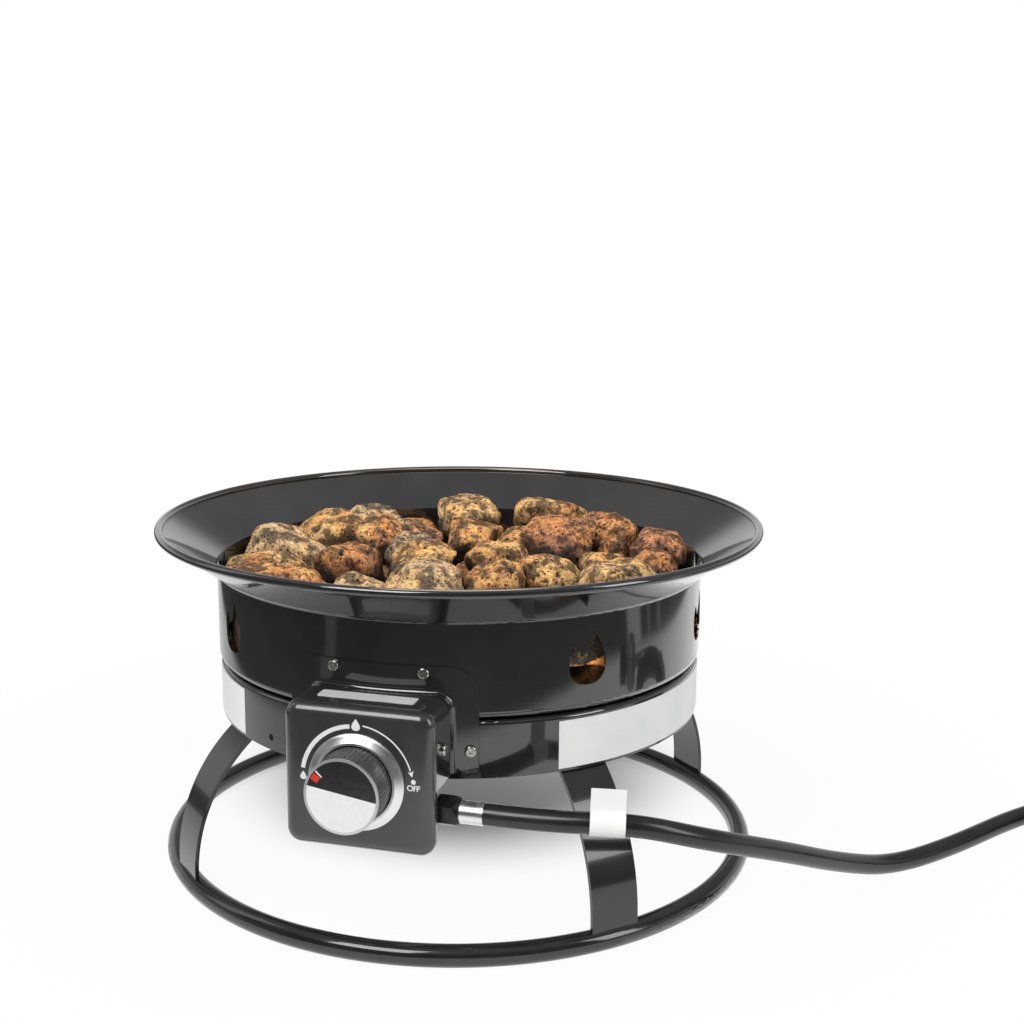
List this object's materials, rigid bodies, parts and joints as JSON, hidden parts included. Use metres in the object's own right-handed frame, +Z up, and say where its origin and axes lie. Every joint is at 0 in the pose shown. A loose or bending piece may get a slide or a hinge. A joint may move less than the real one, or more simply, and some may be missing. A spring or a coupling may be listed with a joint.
{
  "type": "portable propane fire pit",
  "caption": "Round steel fire bowl with a flared rim, full of lava rocks, on bent legs and a ring base, with a gas control box, knob, hose, regulator and tank nut.",
  "frame": {"origin": "on the floor, on the axis of the bowl and of the base ring", "axes": "+Z up, -Y towards the side with the control box, +X towards the side where the hose leaves it"},
  "size_m": [0.9652, 0.5067, 0.27],
  "materials": {
    "gloss_enamel": "gloss",
    "panel_paint": "satin",
    "plated_steel": "satin",
    "bright_trim": "polished",
    "knob_plastic": "satin",
    "knob_print": "gloss",
    "brass": "satin",
    "burner_steel": "heat stained",
    "hose_rubber": "satin",
    "black_nut": "satin",
    "paper": "matte",
    "cast_alloy": "cast",
    "black_plastic": "matte",
    "lava_stone": "rough"
  },
  "bodies": {
    "root": {"base_ring": "gloss_enamel", "base_shroud": "gloss_enamel", "bowl_bolts": "plated_steel", "bowl_floor": "gloss_enamel", "bowl_nuts": "plated_steel", "bowl_spacers": "plated_steel", "bracket_screws": "plated_steel", "burner_lock_nut": "burner_steel", "burner_manifold": "burner_steel", "burner_ring": "burner_steel", "coil_tie": "black_plastic", "control_bracket": "panel_paint", "control_panel": "panel_paint", "dial_bezel": "bright_trim", "diaphragm": "hose_rubber", "drum_wall": "gloss_enamel", "hose": "hose_rubber", "hose_coil": "hose_rubber", "hose_ferrule": "bright_trim", "hose_nut": "black_nut", "hose_tag": "paper", "inlet_elbow": "brass", "inlet_nipple": "brass", "label_left": "paper", "label_right": "paper", "lava_rocks_lower_inner": "lava_stone", "lava_rocks_lower_outer": "lava_stone", "lava_rocks_upper_inner": "lava_stone", "lava_rocks_upper_outer": "lava_stone", "leg_bolts": "plated_steel", "leg_front_left": "gloss_enamel", "leg_front_right": "gloss_enamel", "leg_nuts": "plated_steel", "leg_rear_left": "gloss_enamel", "leg_rear_right": "gloss_enamel", "mixer_tube": "plated_steel", "nipple_seal": "hose_rubber", "orifice_jet": "brass", "panel_nut": "brass", "panel_top_plate": "cast_alloy", "regulator_body": "cast_alloy", "regulator_bonnet": "cast_alloy", "regulator_ferrule": "bright_trim", "regulator_spring": "plated_steel", "rim_flare": "gloss_enamel", "stem_spring": "plated_steel", "strap_screws": "plated_steel", "valve_body": "brass", "valve_bonnet": "brass", "valve_strap": "plated_steel", "vent_cap": "black_plastic"},
    "push": {"stem_collar": "plated_steel"},
    "knob": {"valve_stem": "plated_steel", "knob_cap": "knob_plastic", "knob_trim_ring": "bright_trim", "knob_face": "knob_print"},
    "tank_nut": {"tank_nut": "black_plastic"}
  },
  "joints": [
    {"name": "knob_push", "type": "slide", "parent": "root", "child": "push", "axis": [0, 1, 0], "range_m": [0, 0.003], "stiffness_N_per_m": 800, "springref_m": -0.004, "deforming": ["stem_spring"]},
    {"name": "knob_turn", "type": "hinge", "parent": "push", "child": "knob", "pos_m": [0, -0.237, 0.133], "axis": [0, -1, 0], "range_deg": [-185, 0]},
    {"name": "tank_nut_spin", "type": "hinge", "parent": "root", "child": "tank_nut", "pos_m": [0.69497, -0.05936, 0.02495], "axis": [0, -1, 0], "continuous": true}
  ]
}
